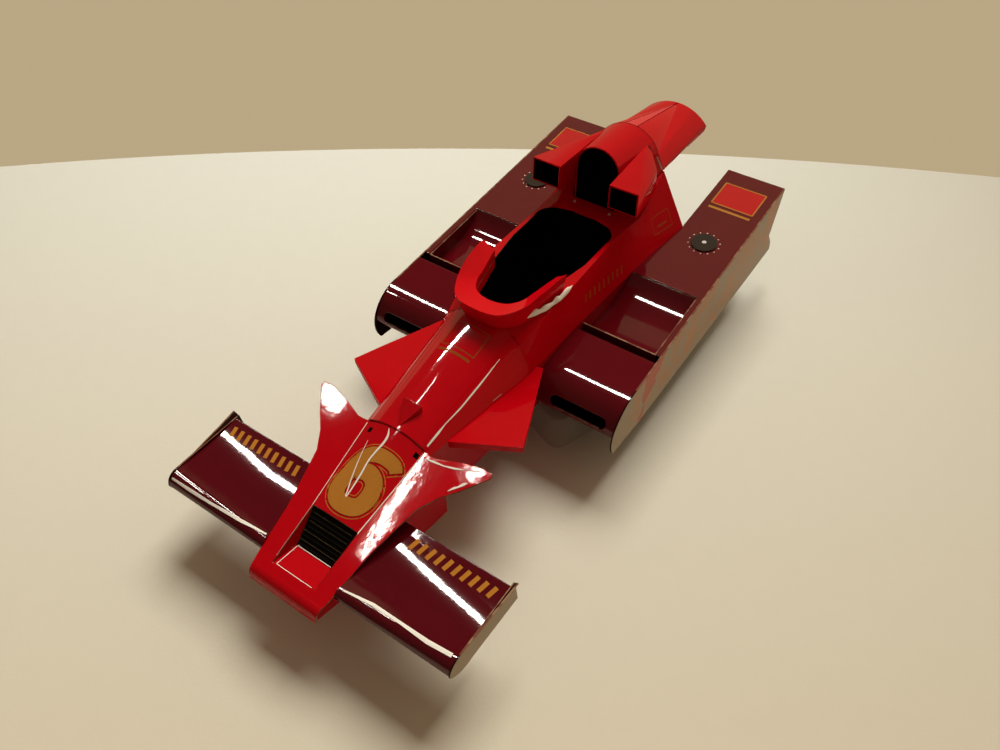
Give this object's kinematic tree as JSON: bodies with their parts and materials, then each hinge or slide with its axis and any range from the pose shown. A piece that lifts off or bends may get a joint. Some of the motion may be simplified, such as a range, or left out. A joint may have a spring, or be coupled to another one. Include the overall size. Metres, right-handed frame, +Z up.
{
  "type": "racing car model",
  "caption": "Display model of an open wheel racing car's body in folded card: wedge nose, side pods, open cockpit and airbox, on a clear box, without wheels.",
  "frame": {"origin": "centre of the bounding box in plan, on the plane the clear box stands on", "axes": "-Y towards the nose, +X towards the driver's left, +Z up"},
  "size_m": [0.0644, 0.1368, 0.0449],
  "materials": {
    "red_card": "varnished printed card, bright red",
    "dull_red_card": "varnished printed card, dull red",
    "maroon_card": "varnished printed card, maroon",
    "brown_card": "varnished printed card, brown-grey",
    "dark_card": "printed card, dark brown",
    "black_card": "printed card, black",
    "grille_print": "varnished printed card, black-brown slats",
    "cap_print": "varnished printed card, dark grey",
    "clear_plastic": "clear polished plastic"
  },
  "bodies": {
    "root": {"airbox": "red_card", "airbox_bulkhead": "black_card", "airbox_duct_left": "red_card", "airbox_duct_right": "red_card", "chassis_tub": "dull_red_card", "clear_stand": "clear_plastic", "cockpit_collar": "red_card", "cockpit_cowl": "red_card", "cockpit_surround": "red_card", "cooler_duct": "dark_card", "cooler_grille": "grille_print", "cowl_wedge": "red_card", "dash_bulkhead": "black_card", "engine_bulkhead": "black_card", "filler_cap_left": "cap_print", "filler_cap_right": "cap_print", "front_fairing_left": "red_card", "front_fairing_right": "red_card", "front_wing_left": "maroon_card", "front_wing_right": "maroon_card", "nose_box": "dull_red_card", "nose_deck": "red_card", "nose_hump": "red_card", "pod_deck_left": "maroon_card", "pod_deck_right": "maroon_card", "pod_floor_left": "dark_card", "pod_floor_right": "dark_card", "pod_inner_wall_left": "dark_card", "pod_inner_wall_right": "dark_card", "pod_nose_left": "maroon_card", "pod_nose_right": "maroon_card", "pod_ramp_left": "maroon_card", "pod_ramp_right": "maroon_card", "pod_skirt_left": "brown_card", "pod_skirt_right": "brown_card", "pod_tail_left": "dark_card", "pod_tail_right": "dark_card", "radiator_core_left": "black_card", "radiator_core_right": "black_card", "rear_body": "red_card", "seat_bulkhead": "black_card", "skirt_strip_left": "dark_card", "skirt_strip_right": "dark_card", "tail_cover": "red_card", "wing_endplate_left": "brown_card", "wing_endplate_right": "brown_card"}
  },
  "joints": []
}
